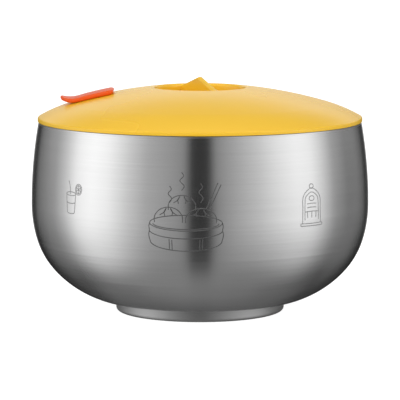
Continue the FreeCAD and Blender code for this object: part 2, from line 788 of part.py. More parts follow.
def pin_down(body, name, place, radius, low, high):
    """A round peg between two heights, centred on the -X axis."""
    peg = Profile(body, name, "XY_Plane")
    bind(peg.sketch, **{"AttachmentOffset.Base.z": low})
    peg.circle(radius, x=f"-{place}")
    feature = body.newObject("PartDesign::Pad", f"{name}_peg")
    feature.Profile = peg.sketch
    bind(feature, Length=f"{high} - ({low})")
    return feature


# ---------------------------------------------------------------------------------------------- output
def export(doc, bodies):
    """Checks every object and writes one file for each node."""
    doc.recompute()
    for obj in doc.Objects:
        if "Invalid" in obj.State or "Error" in obj.State:
            raise RuntimeError(f"{obj.Label}: {obj.State}")
    os.makedirs("parts", exist_ok=True)
    for body in bodies:
        if body.Shape.isNull() or not body.Shape.isValid() or len(body.Shape.Solids) != 1:
            raise RuntimeError(f"{body.Label}: not one valid solid")
        body.Shape.exportStep(f"parts/{body.Label}.step")


document = FreeCAD.newDocument("suction_bowl")
make_sheet(document)
makers = (
    make_outer_shell,
    make_inner_bowl,
    make_foot_ring,
    make_cup_stud,
    make_suction_cup,
    make_release_tab,
    make_lid_shell,
    make_lid_seal,
    make_beak_root,
    make_beak_flap,
)
export(document, [make(document) for make in makers])
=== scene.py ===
import math

import bmesh
import bpy
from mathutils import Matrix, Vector
from mathutils.bvhtree import BVHTree


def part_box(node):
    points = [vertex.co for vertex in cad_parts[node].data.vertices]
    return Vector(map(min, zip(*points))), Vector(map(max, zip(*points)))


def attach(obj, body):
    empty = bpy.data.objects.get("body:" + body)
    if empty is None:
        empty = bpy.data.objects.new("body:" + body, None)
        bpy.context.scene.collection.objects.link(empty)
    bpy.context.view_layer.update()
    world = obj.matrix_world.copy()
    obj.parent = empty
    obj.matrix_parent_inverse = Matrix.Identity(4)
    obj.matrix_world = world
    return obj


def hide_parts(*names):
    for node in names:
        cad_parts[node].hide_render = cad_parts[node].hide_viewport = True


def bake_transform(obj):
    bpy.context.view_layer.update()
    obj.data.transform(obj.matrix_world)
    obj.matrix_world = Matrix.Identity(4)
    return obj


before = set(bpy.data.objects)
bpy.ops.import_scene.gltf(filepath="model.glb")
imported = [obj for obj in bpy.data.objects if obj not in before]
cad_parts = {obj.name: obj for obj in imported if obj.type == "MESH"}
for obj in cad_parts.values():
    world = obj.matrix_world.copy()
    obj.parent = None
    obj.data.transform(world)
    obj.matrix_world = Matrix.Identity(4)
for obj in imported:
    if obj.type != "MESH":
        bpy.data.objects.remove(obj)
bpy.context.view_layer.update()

MM = 0.001

# ---------------------------------------------------------------------------------------------- places
# Objects are in metres in the row frame: +Z up, the beak to -X, the camera on the -Y side. The sizes of the
# pieces are written in millimetres, and MM turns them into metres.
ROOT_LOW, ROOT_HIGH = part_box("beak_root")
FLAP_LOW, FLAP_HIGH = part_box("beak_flap")
BOWL_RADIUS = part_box("outer_shell")[1].x


# ---------------------------------------------------------------------------------------------- camera
CAMERA_DISTANCE = 1.074
CAMERA_HEIGHT = 0.1759
AIM_HEIGHT = 0.0426
LENS = 252.0
SENSOR_WIDTH = 36.0
VIEW_END = 20.0


def look_at(obj, target):
    """Turns a camera or a light towards a point."""
    obj.rotation_euler = (Vector(target) - obj.location).to_track_quat("-Z", "Y").to_euler()


camera_data = bpy.data.cameras.new("camera")
camera_data.lens = LENS
camera_data.sensor_width = SENSOR_WIDTH
camera_data.clip_end = VIEW_END
camera = bpy.data.objects.new("camera", camera_data)
camera.location = (0.0, -CAMERA_DISTANCE, CAMERA_HEIGHT)
bpy.context.scene.collection.objects.link(camera)
look_at(camera, (0.0, 0.0, AIM_HEIGHT))
bpy.context.scene.camera = camera
bpy.context.scene.view_settings.view_transform = "Standard"


# ---------------------------------------------------------------------------------------------- node trees
class Tree:
    """Short spelling for building a node tree."""

    def __init__(self, tree):
        self.tree = tree
        tree.nodes.clear()

    def add(self, kind, **settings):
        """A node. Settings are properties, or inputs by name or number (in_0, in_Scale)."""
        node = self.tree.nodes.new(f"ShaderNode{kind}")
        for key, value in settings.items():
            if not key.startswith("in_"):
                setattr(node, key, value)
        for key, value in settings.items():
            if key.startswith("in_"):
                name = key[3:].replace("_", " ")
                self.feed(node.inputs[int(name)] if name.isdigit() else node.inputs[name], value)
        return node

    def feed(self, socket, value):
        """A number or colour is set; an output is linked."""
        if isinstance(value, bpy.types.NodeSocket):
            self.tree.links.new(value, socket)
        else:
            socket.default_value = value

    def math(self, operation, *values):
        node = self.tree.nodes.new("ShaderNodeMath")
        node.operation = operation
        for socket, value in zip(node.inputs, values):
            self.feed(socket, value)
        return node.outputs[0]

    def ramp(self, factor, stops, interpolation="LINEAR"):
        """A colour ramp over (position, grey level or colour) stops."""
        node = self.tree.nodes.new("ShaderNodeValToRGB")
        node.color_ramp.interpolation = interpolation
        elements = node.color_ramp.elements
        while len(elements) > 1:
            elements.remove(elements[-1])
        for i, (position, level) in enumerate(stops):
            element = elements[0] if i == 0 else elements.new(position)
            element.position = position
            colour = level if isinstance(level, tuple) else (level,) * 3
            element.color = (*colour, 1.0)
        self.feed(node.inputs[0], factor)
        return node.outputs[0]

    def scale_range(self, value, low, high, out_low, out_high):
        """A value moved from one range to another."""
        node = self.tree.nodes.new("ShaderNodeMapRange")
        for socket, setting in zip(node.inputs, (value, low, high, out_low, out_high)):
            self.feed(socket, setting)
        return node.outputs[0]

    def mix(self, factor, a, b, blend="MIX"):
        """Two colours mixed. The node's colour sockets are inputs 6 and 7 and output 2."""
        node = self.tree.nodes.new("ShaderNodeMix")
        node.data_type = "RGBA"
        node.blend_type = blend
        self.feed(node.inputs[0], factor)
        self.feed(node.inputs[6], a)
        self.feed(node.inputs[7], b)
        return node.outputs[2]

    def noise(self, size, detail):
        """Noise whose features have a size, the same along each axis."""
        place = self.add("TexCoord").outputs["Object"]
        spread = self.add("Mapping", vector_type="TEXTURE", in_Vector=place, in_Scale=(size,) * 3).outputs[0]
        node = self.add("TexNoise", in_Vector=spread, in_Scale=1.0, in_Detail=detail, in_Roughness=0.5)
        return node.outputs["Fac"]

    def turned_noise(self, length, width, detail=2.0, roughness=0.5):
        """Noise in fine rings about the Z axis, on walls and on floors alike."""
        x, y, z = self.add("SeparateXYZ", in_0=self.add("TexCoord").outputs["Object"]).outputs
        reach_squared = self.math("ADD", self.math("MULTIPLY", x, x), self.math("MULTIPLY", y, y))
        reach = self.math("SQRT", reach_squared)
        along = [self.math("DIVIDE", side, length) for side in (x, y)]
        place = self.add("CombineXYZ", in_0=along[0], in_1=along[1], in_2=self.math("DIVIDE", z, width))
        ring = self.add(
            "TexNoise",
            noise_dimensions="4D",
            in_Vector=place.outputs[0],
            in_W=self.math("DIVIDE", reach, width),
            in_Scale=1.0,
            in_Detail=detail,
            in_Roughness=roughness,
        )
        return ring.outputs["Fac"]

    def bump(self, height, strength, distance):
        return self.add("Bump", in_Height=height, in_Strength=strength, in_Distance=distance).outputs[0]


def grey(level):
    return (level, level, level, 1.0)


def rgb(red, green, blue):
    """An sRGB colour in 0-255 as linear light."""
    def linear(c):
        c /= 255.0
        return c / 12.92 if c <= 0.04045 else ((c + 0.055) / 1.055) ** 2.4
    return (linear(red), linear(green), linear(blue), 1.0)


# ---------------------------------------------------------------------------------------------- studio
# The room round the bowl, as a brightness for each direction, in degrees from the photographer, negative to
# the left: a tall soft box at each side, paler walls in front, a dark gap where the photographer stands, and
# dark corners behind the soft boxes.
ROOM = (
    (-180, 0.9), (-170, 0.5), (-163, 0.04), (-152, 0.05), (-145, 0.2), (-130, 0.34), (-117, 0.5), (-106, 0.9),
    (-93, 1.55), (-79, 1.7), (-66, 1.5), (-50, 0.95), (-37, 0.62), (-20, 0.47), (-11, 0.38), (-6, 0.035),
    (6, 0.035), (11, 0.36), (24, 0.58), (40, 0.88), (56, 1.3), (70, 1.56), (82, 1.55), (92, 1.15),
    (104, 0.55), (120, 0.26), (136, 0.26), (147, 0.16), (154, 0.05), (163, 0.04), (170, 0.5), (180, 0.9),
)
# The table under the bowl, as a brightness for each elevation: in front of the bowl, beside it and behind it
TABLE_IN_FRONT = ((-90, 0.34), (-70, 0.33), (-45, 0.26), (-20, 0.3))
TABLE_BESIDE = (
    (-90, 0.34), (-72, 0.27), (-60, 0.09), (-50, 0.03), (-41, 0.03), (-31, 0.17), (-22, 0.23), (-8, 0.22),
)
TABLE_BEHIND = (
    (-90, 0.34), (-76, 0.3), (-66, 0.17), (-54, 0.15), (-45, 0.14), (-37, 0.05), (-28, 0.02), (-12, 0.01),
)
# The share of the light that is left for each direction: on the table in the dark gap, and low on the right
GAP_SHADE = ((-15, 1.0), (-6, 0.25), (6, 0.25), (15, 1.0))
RIGHT_SHADE = ((25, 1.0), (55, 0.775), (110, 0.775), (135, 1.0))
# The share that each of these has at an elevation: the two shades, the table and the ceiling
GAP_FADE = ((-75, 0.0), (-40, 1.0))
RIGHT_FADE = ((-30, 1.0), (12, 0.0))
FRONT_TABLE_FADE = ((-60, 1.0), (-28, 0.45), (-5, 0.0))
BACK_TABLE_FADE = ((-14, 1.0), (-7.5, 0.0))
FRONT_CEILING_FADE = ((50, 0.0), (85, 1.0))
BACK_CEILING_FADE = ((9, 0.0), (21, 1.0))
# Where the front of the room ends and its back begins, and where straight behind begins, in half turns
FRONT_END, BACK_START, STRAIGHT_BACK = 0.5, 0.72, 0.86
# The backdrop and the ceiling, which the lid mirrors
CEILING = ((8, 1.2), (19, 1.1), (28, 0.5), (38, 0.25), (50, 0.35), (66, 0.7), (90, 0.9))
ROOM_PEAK = 2.0
ROOM_FILL = 0.6


def make_room():
    world = bpy.data.worlds.new("studio")
    world.use_nodes = True
    bpy.context.scene.world = world
    t = Tree(world.node_tree)
    direction = t.add("TexCoord").outputs["Generated"]
    x, y, z = t.add("SeparateXYZ", in_0=direction).outputs
    turn = t.math("DIVIDE", t.math("ARCTAN2", x, t.math("MULTIPLY", y, -1.0)), math.pi)
    rise = t.math("ARCSINE", t.math("MINIMUM", t.math("MAXIMUM", z, -1.0), 1.0))
    rise = t.scale_range(rise, -math.pi / 2, math.pi / 2, 0.0, 1.0)

    def by_turn(stops, peak=ROOM_PEAK):
        place = t.scale_range(turn, -1.0, 1.0, 0.0, 1.0)
        return t.ramp(place, [((degrees + 180) / 360, level / peak) for degrees, level in stops])

    def by_rise(stops, peak=ROOM_PEAK):
        return t.ramp(rise, [((degrees + 90) / 180, level / peak) for degrees, level in stops], "EASE")

    def share(stops):
        return by_rise(stops, 1.0)

    walls = by_turn(ROOM)
    behind = t.scale_range(t.math("ABSOLUTE", turn), FRONT_END, BACK_START, 0.0, 1.0)
    gap = t.mix(share(GAP_FADE), grey(1.0), by_turn(GAP_SHADE, 1.0))
    table = t.mix(1.0, by_rise(TABLE_IN_FRONT), gap, "MULTIPLY")
    front_low = t.mix(share(FRONT_TABLE_FADE), walls, table)
    straight_behind = t.scale_range(t.math("ABSOLUTE", turn), BACK_START, STRAIGHT_BACK, 0.0, 1.0)
    table_behind = t.mix(straight_behind, by_rise(TABLE_BESIDE), by_rise(TABLE_BEHIND))
    back_low = t.mix(share(BACK_TABLE_FADE), walls, table_behind)
    room = t.mix(behind, front_low, back_low)
    ceiling = t.mix(behind, share(FRONT_CEILING_FADE), share(BACK_CEILING_FADE))
    room = t.mix(ceiling, room, by_rise(CEILING))
    shade = t.mix(share(RIGHT_FADE), grey(1.0), by_turn(RIGHT_SHADE, 1.0))
    room = t.mix(1.0, room, shade, "MULTIPLY")
    path = t.add("LightPath").outputs
    mirrored = t.add("Background", in_Color=room, in_Strength=ROOM_PEAK)
    fill = t.add("Background", in_Color=grey(1.0), in_Strength=ROOM_FILL)
    white = t.add("Background", in_Color=grey(1.0), in_Strength=1.0)
    lit = t.add("MixShader", in_0=path["Is Diffuse Ray"], in_1=mirrored.outputs[0], in_2=fill.outputs[0])
    both = t.add("MixShader", in_0=path["Is Camera Ray"], in_1=lit.outputs[0], in_2=white.outputs[0])
    t.add("OutputWorld", in_Surface=both.outputs[0])


LIGHT_AIM = (0.0, 0.0, 0.05)
FLOOR_REACH = 4.0
FLOOR_GREY = 0.5
FLOOR_GLOW = 0.9


def soft_box(name, place, width, height, power):
    """A soft light that the metal doesn't mirror: the room's bright walls already stand for it."""
    data = bpy.data.lights.new(name, "AREA")
    data.shape = "RECTANGLE"
    data.size, data.size_y = width, height
    data.energy = power
    light = bpy.data.objects.new(name, data)
    light.location = place
    bpy.context.scene.collection.objects.link(light)
    look_at(light, LIGHT_AIM)
    light.visible_glossy = False


def make_floor():
    """A white floor that the camera sees and the bowl doesn't mirror."""
    mesh = bpy.data.meshes.new("floor")
    corners = [(x * FLOOR_REACH, y * FLOOR_REACH, 0) for x, y in ((-1, -1), (1, -1), (1, 1), (-1, 1))]
    mesh.from_pydata(corners, [], [(0, 1, 2, 3)])
    floor = bpy.data.objects.new("floor", mesh)
    bpy.context.scene.collection.objects.link(floor)
    material = bpy.data.materials.new("floor_white")
    material.use_nodes = True
    t = Tree(material.node_tree)
    matte = t.add("BsdfDiffuse", in_Color=grey(FLOOR_GREY))
    glow = t.add("Emission", in_Color=grey(1.0), in_Strength=FLOOR_GLOW)
    both = t.add("AddShader", in_0=matte.outputs[0], in_1=glow.outputs[0])
    t.add("OutputMaterial", in_Surface=both.outputs[0])
    mesh.materials.append(material)
    floor.visible_glossy = False
    floor.visible_diffuse = False


make_room()
make_floor()
soft_box("top_light", (0.0, 0.1, 1.3), 1.2, 1.0, 1.2)
soft_box("front_light", (0.0, -1.4, 0.75), 1.4, 0.6, 6.6)
soft_box("left_light", (-1.1, -0.6, 0.6), 0.7, 1.0, 4.0)
soft_box("right_light", (1.1, -0.6, 0.6), 0.7, 1.0, 4.0)


# ---------------------------------------------------------------------------------------------- materials
def new_material(name):
    material = bpy.data.materials.new(name)
    material.use_nodes = True
    tree = Tree(material.node_tree)
    return material, tree


def finish_material(tree, **inputs):
    shader = tree.add("BsdfPrincipled", **inputs)
    tree.add("OutputMaterial", in_Surface=shader.outputs[0])


LINE_LENGTH, BAND_LENGTH, SMEAR_SIZE = 55 * MM, 90 * MM, 18 * MM
BAND_WIDTH = 9
FINE_SHARE, BROAD_SHARE = 0.7, 0.3
LINE_GLOSS, SMEAR_GLOSS = 0.06, 0.04
STEEL_RELIEF = 0.03
LINE_DEPTH = 0.02 * MM


def steel(name, level, roughness, anisotropy, line=0.3 * MM, contrast=0.035):
    """Steel brushed round the Z axis: fine rings and broader bands that vary its grey, its gloss and its
    surface, and smears that vary its gloss."""
    material, t = new_material(name)
    fine = t.turned_noise(LINE_LENGTH, line)
    broad = t.turned_noise(BAND_LENGTH, line * BAND_WIDTH)
    smear = t.noise(SMEAR_SIZE, 3.0)
    lines = t.math("ADD", t.math("MULTIPLY", fine, FINE_SHARE), t.math("MULTIPLY", broad, BROAD_SHARE))
    colour = t.ramp(lines, [(0.3, level * (1 - contrast)), (0.7, level * (1 + contrast))])
    gloss = t.math("ADD", t.math("MULTIPLY", lines, LINE_GLOSS), t.math("MULTIPLY", smear, SMEAR_GLOSS))
    finish_material(
        t,
        in_Base_Color=colour,
        in_Metallic=1.0,
        in_Roughness=t.math("ADD", gloss, roughness - (LINE_GLOSS + SMEAR_GLOSS) / 2),
        in_Anisotropic=anisotropy,
        in_Anisotropic_Rotation=0.25,
        in_Tangent=t.add("Tangent", direction_type="RADIAL", axis="Z").outputs[0],
        in_Normal=t.bump(fine, STEEL_RELIEF, LINE_DEPTH),
    )
    return material


GRAIN_SIZE, GRAIN_DEPTH = 0.12 * MM, 0.01 * MM
CLOUD_TINT = 0.01
CLOUD_GLOSS = 0.015


def moulded(name, colour, roughness, depth, soft, relief=0.15, specular=0.5, cloud=9 * MM):
    """Moulded plastic or silicone: a fine grain from the mould, slow changes of colour and gloss, and a
    little depth, which is how far red, green and blue light goes in."""
    material, t = new_material(name)
    grainy = t.noise(GRAIN_SIZE, 2.0)
    cloudy = t.noise(cloud, 1.0)
    paler = tuple(min(1.0, c * (1 + CLOUD_TINT)) for c in colour[:3])
    deeper = tuple(c * (1 - CLOUD_TINT) for c in colour[:3])
    finish_material(
        t,
        in_Base_Color=t.ramp(cloudy, [(0.25, deeper), (0.75, paler)], "EASE"),
        in_Roughness=t.scale_range(cloudy, 0.3, 0.7, roughness - CLOUD_GLOSS, roughness + CLOUD_GLOSS),
        in_Subsurface_Weight=soft,
        in_Subsurface_Radius=depth,
        in_Subsurface_Scale=1.0,
        in_Specular_IOR_Level=specular,
        in_Normal=t.bump(grainy, relief, GRAIN_DEPTH),
    )
    return material


OUTER_STEEL = steel("outer_steel", 0.62, 0.25, 1.0)
INNER_STEEL = steel("inner_steel", 0.66, 0.30, 0.6, contrast=0.05)
# The foot ring's steel is a darker grey than the bowl's: painted shade, standing for the shadow that the bowl
# casts on the ring below it
SHADED_FOOT_STEEL = steel("foot_steel", 0.39, 0.5, 0.3, line=0.2 * MM, contrast=0.05)
STUD_STEEL = steel("stud_steel", 0.55, 0.35, 0.6, line=0.1 * MM)
LID_DEPTH = (1.0 * MM, 0.5 * MM, 0.1 * MM)
BEAK_DEPTH = (1.0 * MM, 0.3 * MM, 0.1 * MM)
CUP_DEPTH = (2.5 * MM, 1.2 * MM, 0.5 * MM)
SEAL_DEPTH = (2.5 * MM, 2.3 * MM, 2.0 * MM)
LID_PLASTIC = moulded("lid_plastic", rgb(240, 191, 42), 0.27, LID_DEPTH, 0.05, relief=0.03, cloud=30 * MM)
BEAK_SILICONE = moulded("beak_silicone", rgb(228, 86, 14), 0.4, BEAK_DEPTH, 0.1, specular=0.35)
CUP_SILICONE = moulded("cup_silicone", rgb(236, 184, 60), 0.45, CUP_DEPTH, 0.2)
SEAL_SILICONE = moulded("seal_silicone", rgb(222, 220, 214), 0.45, SEAL_DEPTH, 0.3)


def etched(name, dark, pale):
    """Steel marked by a laser: matt, dark oxide with the brushing still showing through."""
    material, t = new_material(name)
    lines = t.turned_noise(30 * MM, 0.35 * MM, 3.0, 0.6)
    finish_material(
        t,
        in_Base_Color=t.ramp(lines, [(0.3, dark), (0.7, pale)]),
        in_Metallic=0.7,
        in_Roughness=t.scale_range(lines, 0.3, 0.7, 0.45, 0.6),
        in_Normal=t.bump(lines, 0.1, LINE_DEPTH),
    )
    return material


ETCHED_STEEL = etched("etched_steel", 0.10, 0.20)
FAINT_STEEL = etched("faintly_etched_steel", 0.26, 0.40)

for node, material in (
    ("outer_shell", OUTER_STEEL),
    ("inner_bowl", INNER_STEEL),
    ("foot_ring", SHADED_FOOT_STEEL),
    ("cup_stud", STUD_STEEL),
    ("lid_shell", LID_PLASTIC),
):
    for material_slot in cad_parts[node].material_slots:
        material_slot.material = material


# ---------------------------------------------------------------------------------------------- meshes
WELD_DISTANCE = 1e-7
CORNER_STEPS = 5


def make_piece(name, vertices, faces, material):
    """A smooth-shaded object from points in metres, with its faces turned outwards."""
    mesh = bpy.data.meshes.new(name)
    mesh.from_pydata([tuple(v) for v in vertices], [], faces)
    work = bmesh.new()
    work.from_mesh(mesh)
    bmesh.ops.remove_doubles(work, verts=work.verts, dist=WELD_DISTANCE)
    bmesh.ops.recalc_face_normals(work, faces=work.faces)
    work.to_mesh(mesh)
    work.free()
    mesh.polygons.foreach_set("use_smooth", [True] * len(mesh.polygons))
    mesh.materials.append(material)
    piece = bpy.data.objects.new(name, mesh)
    bpy.context.scene.collection.objects.link(piece)
    return piece


def filleted(corners):
    """A closed line through (x, y, radius) corners, each one rounded by its radius."""
    line = []
    for i, (x, y, radius) in enumerate(corners):
        here = Vector((x, y))
        before = Vector(corners[i - 1][:2]) - here
        after = Vector(corners[(i + 1) % len(corners)][:2]) - here
        if radius <= 0.0:
            line.append(here)
            continue
        half = before.angle(after) / 2
        cut = radius / math.tan(half)
        centre = here + (before.normalized() + after.normalized()).normalized() * radius / math.sin(half)
        first = here + before.normalized() * cut - centre
        turn = first.angle_signed(here + after.normalized() * cut - centre)
        for k in range(CORNER_STEPS + 1):
            bend = -turn * k / CORNER_STEPS
            cos, sin = math.cos(bend), math.sin(bend)
            line.append(centre + Vector((first.x * cos - first.y * sin, first.x * sin + first.y * cos)))
    return line


def lathe(name, line, material, centre=(0.0, 0.0), segments=144):
    """A closed (radius, height) line in millimetres turned about a vertical axis."""
    vertices, faces = [], []
    count = len(line)
    for k in range(segments):
        angle = 2 * math.pi * k / segments
        for radius, height in line:
            reach = max(radius, 0.0) * MM
            x, y = centre[0] + reach * math.cos(angle), centre[1] + reach * math.sin(angle)
            vertices.append((x, y, height * MM))
    for k in range(segments):
        here, there = k * count, (k + 1) % segments * count
        for i in range(count):
            j = (i + 1) % count
            on_axis = [line[i][0] <= 0.0, line[j][0] <= 0.0]
            if all(on_axis):
                continue
            corners = [here + i, here + j, there + j, there + i]
            if on_axis[0]:
                corners = corners[:3]
            elif on_axis[1]:
                corners = [here + i, here + j, there + i]
            faces.append(corners)
    return make_piece(name, vertices, faces, material)


def section(half_width, half_height, corner):
    """A rounded rectangle as (sideways, up) pairs."""
    corner = min(corner, half_width, half_height)
    pairs = []
    for k, (side, up) in enumerate(((1, 1), (-1, 1), (-1, -1), (1, -1))):
        for i in range(CORNER_STEPS + 1):
            angle = math.pi / 2 * (k + i / CORNER_STEPS)
            pairs.append(
                (
                    side * (half_width - corner) + corner * math.cos(angle),
                    up * (half_height - corner) + corner * math.sin(angle),
                )
            )
    return pairs


def skinned(name, loops, material):
    """A skin over closed loops of equal length, capped at both ends."""
    count = len(loops[0])
    vertices = [point for loop in loops for point in loop]
    faces = [list(range(count)), list(range(len(vertices) - count, len(vertices)))]
    for k in range(len(loops) - 1):
        for i in range(count):
            j = (i + 1) % count
            faces.append([k * count + i, k * count + j, (k + 1) * count + j, (k + 1) * count + i])
    return make_piece(name, vertices, faces, material)


def eased(first, last, count):
    """Places that crowd towards both ends."""
    return [first + (last - first) * (1 - math.cos(math.pi * k / (count - 1))) / 2 for k in range(count)]


def round_in(distance, radius):
    """How much of its height a rounded edge has at a distance from it, from 0 to 1."""
    depth = 1 - min(max(distance, 0.0) / radius, 1.0)
    return math.sqrt(1 - depth * depth)


# ---------------------------------------------------------------------------------------------- beak
DOME_ARC = 177.4
BEAK_GAP = 0.05
BEAK_THICKNESS = 1.8
BEAK_END, BEAK_TIP = -ROOT_HIGH.x / MM, -FLAP_LOW.x / MM
BEAK_HALF = FLAP_HIGH.y / MM
TOP_ARC = DOME_ARC + BEAK_GAP + BEAK_THICKNESS
DOME_CENTRE = ROOT_HIGH.z / MM - math.sqrt(TOP_ARC**2 - BEAK_END**2)
VENT_PLACE = 45.0
ANCHOR_PLACE = 36.2
ROOT_CORNER, TIP_RADIUS = 2.8, 7.4
SIDE_CLEARANCE = 0.02
THIN_FROM, TIP_THINNING = 44.0, 0.22
ROOT_ROUNDING, TIP_ROUNDING, EDGE_ROUNDING = 1.5, 0.8, 0.75
# Where each face leaves the dome, and the radius that it curls up with
UNDER_LEAVE, UNDER_CURL = 47.2, 8.1
UPPER_LEAVE, UPPER_CURL = 48.0, 8.5
BEAK_SLICES = 72
# How far the nub and the anchor's stem run up into the beak
SUNK = 0.5
NUB_RADIUS, STEM_RADIUS, BEAD_RADIUS = 1.7, 1.6, 2.4


def dome_height(reach, arc):
    return DOME_CENTRE + math.sqrt(arc**2 - reach**2)


def beak_face(reach, arc, leave, curl):
    """Height of the beak's under or upper face: on the dome, then curling up to the tip."""
    if reach <= leave:
        return dome_height(reach, arc)
    lean = math.asin(leave / arc)
    across = reach - (arc + curl) * math.sin(lean)
    return DOME_CENTRE + (arc + curl) * math.cos(lean) - math.sqrt(max(curl**2 - across**2, 0.0))


def beak_half_width(place):
    """Half the beak's width: rounded corners at the root, nearly straight sides and a round tip."""
    corner, tip = ROOT_CORNER, TIP_RADIUS
    from_end, from_tip = place - BEAK_END, BEAK_TIP - place
    if from_end < corner:
        return BEAK_HALF - corner + math.sqrt(corner**2 - (corner - from_end) ** 2)
    if from_tip < tip:
        return math.sqrt(tip**2 - (tip - from_tip) ** 2)
    straight = (place - BEAK_END - corner) / (BEAK_TIP - tip - BEAK_END - corner)
    return BEAK_HALF + (tip - BEAK_HALF) * max(straight, 0.0) ** 2


def beak_loop(place):
    """One slice across the beak."""
    half = max(beak_half_width(place) - SIDE_CLEARANCE, 0.25)
    thinner = 1 - TIP_THINNING * max(0.0, (place - THIN_FROM) / (BEAK_TIP - THIN_FROM))
    depth = BEAK_THICKNESS / 2 * thinner
    depth *= max(0.08, min(round_in(place - BEAK_END, ROOT_ROUNDING), round_in(BEAK_TIP - place, TIP_ROUNDING)))
    loop = []
    for side, up in section(half, depth, EDGE_ROUNDING):
        reach = math.hypot(place, side)
        low = beak_face(reach, DOME_ARC + BEAK_GAP, UNDER_LEAVE, UNDER_CURL)
        high = beak_face(reach, TOP_ARC, UPPER_LEAVE, UPPER_CURL)
        loop.append((-place * MM, side * MM, ((low + high) / 2 + up) * MM))
    return loop


beak = skinned(
    "beak",
    [beak_loop(place) for place in eased(BEAK_END + 0.01, BEAK_TIP - 0.01, BEAK_SLICES)],
    BEAK_SILICONE,
)
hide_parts("beak_root", "beak_flap")
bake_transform(beak)

nub_low = FLAP_LOW.z / MM
nub_top = dome_height(VENT_PLACE, DOME_ARC) + SUNK
nub = lathe(
    "vent_nub",
    filleted([(0, nub_low, 0), (NUB_RADIUS, nub_low, 0.5), (NUB_RADIUS, nub_top, 0), (0, nub_top, 0)]),
    BEAK_SILICONE,
    centre=(-VENT_PLACE * MM, 0.0),
    segments=48,
)
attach(nub, "beak_flap")

bead_low = ROOT_LOW.z / MM
stem_top = dome_height(ANCHOR_PLACE, DOME_ARC) + SUNK
anchor = lathe(
    "beak_anchor",
    filleted(
        [
            (0, bead_low, 0),
            (STEM_RADIUS, bead_low, 0.3),
            (BEAD_RADIUS, bead_low + 1.1, 0.3),
            (BEAD_RADIUS, bead_low + 1.5, 0.15),
            (STEM_RADIUS, bead_low + 1.5, 0),
            (STEM_RADIUS, stem_top, 0),
            (0, stem_top, 0),
        ]
    ),
    BEAK_SILICONE,
    centre=(-ANCHOR_PLACE * MM, 0.0),
    segments=48,
)
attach(anchor, "lid")


# ---------------------------------------------------------------------------------------------- seal
SEAL_LOW, SEAL_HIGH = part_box("lid_seal")
seal_reach, seal_base, seal_top = SEAL_HIGH.x / MM, SEAL_LOW.z / MM, SEAL_HIGH.z / MM
SEAL_WIDTH, SEAL_LIP = 2.45, 1.05
seal_inside, seal_band = seal_reach - SEAL_WIDTH, seal_reach - SEAL_LIP
seal = lathe(
    "seal_ring",
    filleted(
        [
            (seal_inside, seal_base, 0.2),
            (seal_band, seal_base, 0.2),
            (seal_reach, seal_base + 0.1, 0.15),
            (seal_reach, seal_base + 0.5, 0.15),
            (seal_band, seal_base + 0.75, 0.15),
            (seal_band, seal_top - 0.55, 0.15),
            (seal_reach, seal_top - 0.4, 0.15),
            (seal_reach, seal_top, 0.15),
            (seal_inside, seal_top, 0.2),
        ]
    ),
    SEAL_SILICONE,
    segments=240,
)
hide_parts("lid_seal")
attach(seal, "lid")


# ---------------------------------------------------------------------------------------------- suction cup
CUP_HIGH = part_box("suction_cup")[1]
CUP_HOLLOW = 2.6
HUB_RADIUS = 9.0
SOCKET_RADIUS, SOCKET_FLOOR = 4.0, 5.1
cup_reach, hub_top = CUP_HIGH.x / MM, CUP_HIGH.z / MM
cup = lathe(
    "suction_cup_moulding",
    filleted(
        [
            (0, CUP_HOLLOW, 0),
            (HUB_RADIUS, CUP_HOLLOW, 1.0),
            (cup_reach - 2.2, 0.0, 0.4),
            (cup_reach, 0.0, 0.3),
            (cup_reach, 0.9, 0.3),
            (22.2, 2.34, 0.3),
            (21.8, 2.1, 0.1),
            (21.2, 2.1, 0.1),
            (20.8, 2.6, 0.3),
            (12.0, 4.4, 1.5),
            (HUB_RADIUS, 5.4, 1.0),
            (HUB_RADIUS, hub_top, 0.6),
            (SOCKET_RADIUS, hub_top, 0.3),
            (SOCKET_RADIUS, SOCKET_FLOOR, 0.2),
            (0, SOCKET_FLOOR, 0),
        ]
    ),
    CUP_SILICONE,
)
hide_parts("suction_cup")
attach(cup, "suction_cup")

TAB_LOW, TAB_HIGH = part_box("release_tab")
TAB_END = TAB_HIGH.y / MM
TAB_HALF = TAB_HIGH.x / MM
TAB_BASE = TAB_LOW.z / MM
TAB_TOP = TAB_HIGH.z / MM
TAB_CORNER = 4.0
TAB_PLATE = 1.2
# The tab's top is low where it joins the cup's lip, then rises to the plate
JOIN_TOP, JOIN_END, JOIN_RISE = 0.85, 29.0, 1.5
GRIP_RIDGES = (32.6, 34.6, 36.6)
RIDGE_HEIGHT, RIDGE_WIDTH = 0.3, 0.35
# The plate thickens at a step near its free end
STEP_START, STEP_RUN = 39.3, 0.8
TAB_START, TAB_PITCH, TAB_SLICES = 27.9, 0.15, 95


def tab_loop(place):
    """One slice across the release tab, which starts inside the cup's lip."""
    from_end = TAB_END - place
    half = TAB_HALF
    if from_end < TAB_CORNER:
        half += math.sqrt(TAB_CORNER**2 - (TAB_CORNER - from_end) ** 2) - TAB_CORNER
    top = TAB_BASE + TAB_PLATE
    if place < JOIN_END:
        top = JOIN_TOP
    elif place < JOIN_END + JOIN_RISE:
        top = JOIN_TOP + (TAB_BASE + TAB_PLATE - JOIN_TOP) * (place - JOIN_END) / JOIN_RISE
    for ridge in GRIP_RIDGES:
        top += RIDGE_HEIGHT * math.exp(-(((place - ridge) / RIDGE_WIDTH) ** 2))
    top += (TAB_TOP - TAB_BASE - TAB_PLATE) * min(max((place - STEP_START) / STEP_RUN, 0.0), 1.0)
    middle, depth = (TAB_BASE + top) / 2, (top - TAB_BASE) / 2
    depth *= max(0.1, round_in(from_end, 0.7))
    return [
        (side * MM, place * MM, (middle + up) * MM) for side, up in section(max(half, 0.3), depth, 0.5)
    ]


